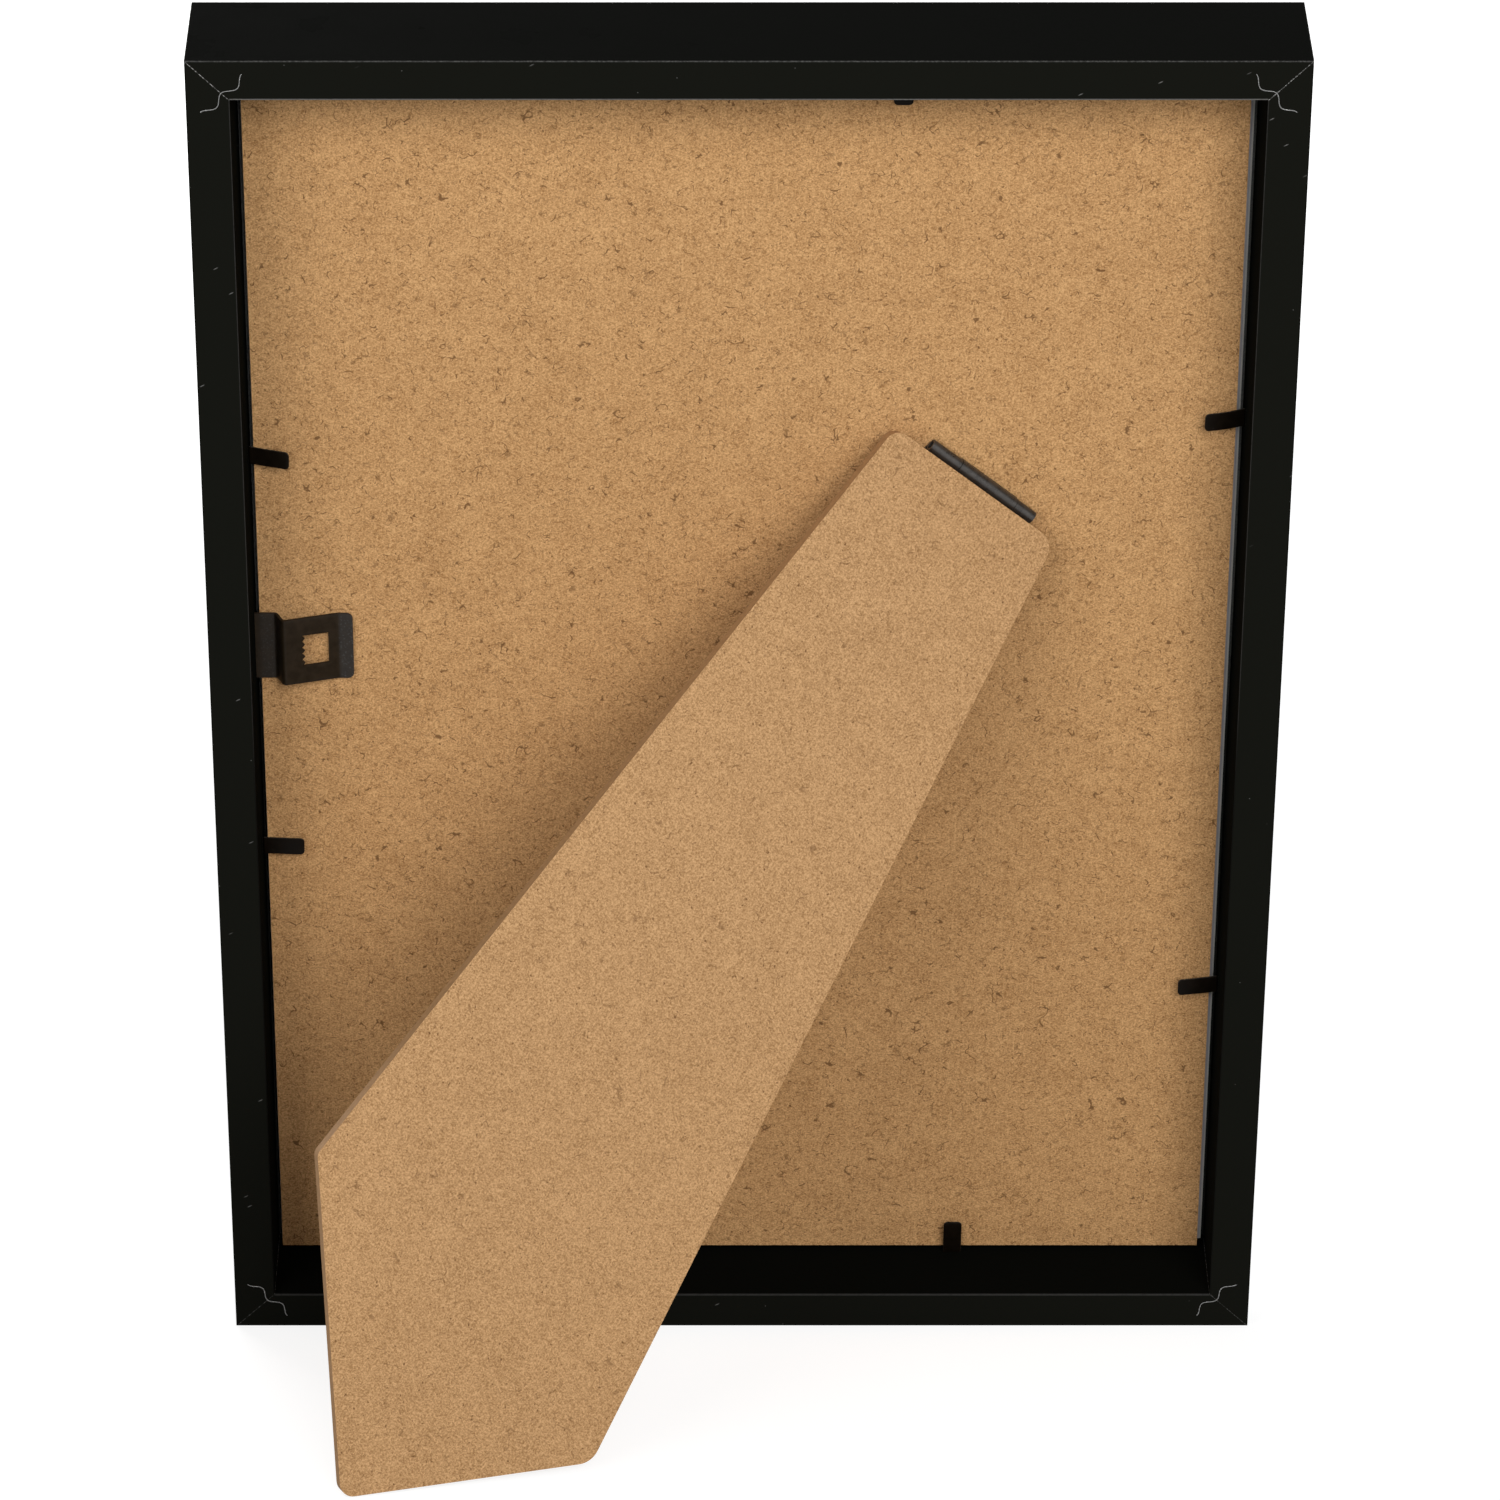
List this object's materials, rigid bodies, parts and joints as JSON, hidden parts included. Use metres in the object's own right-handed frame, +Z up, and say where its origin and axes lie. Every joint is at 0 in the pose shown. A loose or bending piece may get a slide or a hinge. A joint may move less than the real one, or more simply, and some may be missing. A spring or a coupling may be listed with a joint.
{
  "type": "easel back photo frame",
  "caption": "Black mitred picture frame standing on a diagonal hardboard easel strut, with a hardboard back held by bendable steel tabs.",
  "frame": {"origin": "on the table, under the centre of the standing frame's bounding box", "axes": "+Z up, the picture faces -Y, the back and the strut face +Y; +X is the viewer's right in front and the left seen from behind"},
  "size_m": [0.23, 0.1364, 0.3134],
  "materials": {
    "black_moulding": "near-black satin foil wrapped over a fibreboard moulding",
    "brown_hardboard": "smooth tan hardboard with short dark fibre specks",
    "strut_hardboard": "smooth tan hardboard, a little lighter and pinker than the back",
    "clear_glass": "clear float glass",
    "white_card": "matt off-white mat card",
    "pale_paper": "plain pale insert paper",
    "blued_steel": "dark grey blued sheet steel, satin",
    "browned_steel": "dark brown-black lacquered sheet steel, satin",
    "bright_steel": "bare edge of a corrugated steel strip"
  },
  "bodies": {
    "frame": {"top_rail": "black_moulding", "bottom_rail": "black_moulding", "left_rail": "black_moulding", "right_rail": "black_moulding", "corner_wave_nails": "bright_steel", "glazing": "clear_glass", "passe_partout": "white_card", "picture_sheet": "pale_paper", "back_board": "brown_hardboard", "hinge_fixed_leaf": "blued_steel", "hinge_pin": "blued_steel", "sawtooth_hanger": "browned_steel", "tab_tongues": "browned_steel"},
    "strut": {"easel_strut": "strut_hardboard", "hinge_moving_leaf": "blued_steel"},
    "left_upper_tab_blade": {"left_upper_tab": "browned_steel"},
    "left_lower_tab_blade": {"left_lower_tab": "browned_steel"},
    "right_upper_tab_blade": {"right_upper_tab": "browned_steel"},
    "right_lower_tab_blade": {"right_lower_tab": "browned_steel"},
    "top_right_tab_blade": {"top_right_tab": "browned_steel"},
    "bottom_right_tab_blade": {"bottom_right_tab": "browned_steel"}
  },
  "joints": [
    {"name": "strut_fold", "type": "hinge", "parent": "frame", "child": "strut", "pos_m": [-0.0503, 0.0064, 0.20738], "axis": [-0.7749, -0.1885, -0.6033], "range_deg": [0, 27.7]},
    {"name": "left_upper_tab_bend", "type": "hinge", "parent": "frame", "child": "left_upper_tab_blade", "pos_m": [0.10575, 0.00745, 0.2134], "axis": [0, -0.2983, -0.9545], "range_deg": [-21, 57]},
    {"name": "left_lower_tab_bend", "type": "hinge", "parent": "frame", "child": "left_lower_tab_blade", "pos_m": [0.10575, -0.02205, 0.11902], "axis": [0, -0.2983, -0.9545], "range_deg": [-7, 71]},
    {"name": "right_upper_tab_bend", "type": "hinge", "parent": "frame", "child": "right_upper_tab_blade", "pos_m": [-0.10575, 0.01022, 0.22226], "axis": [0, 0.2983, 0.9545], "range_deg": [-20.5, 57.5]},
    {"name": "right_lower_tab_bend", "type": "hinge", "parent": "frame", "child": "right_lower_tab_blade", "pos_m": [-0.10575, -0.03303, 0.0839], "axis": [0, 0.2983, 0.9545], "range_deg": [-13.5, 64.5]},
    {"name": "top_right_tab_bend", "type": "hinge", "parent": "frame", "child": "top_right_tab_blade", "pos_m": [-0.0322, 0.03495, 0.30139], "axis": [1, 0, 0], "range_deg": [-3.5, 74.5]},
    {"name": "bottom_right_tab_bend", "type": "hinge", "parent": "frame", "child": "bottom_right_tab_blade", "pos_m": [-0.04807, -0.05499, 0.01362], "axis": [-1, 0, 0], "range_deg": [-11, 67]}
  ]
}
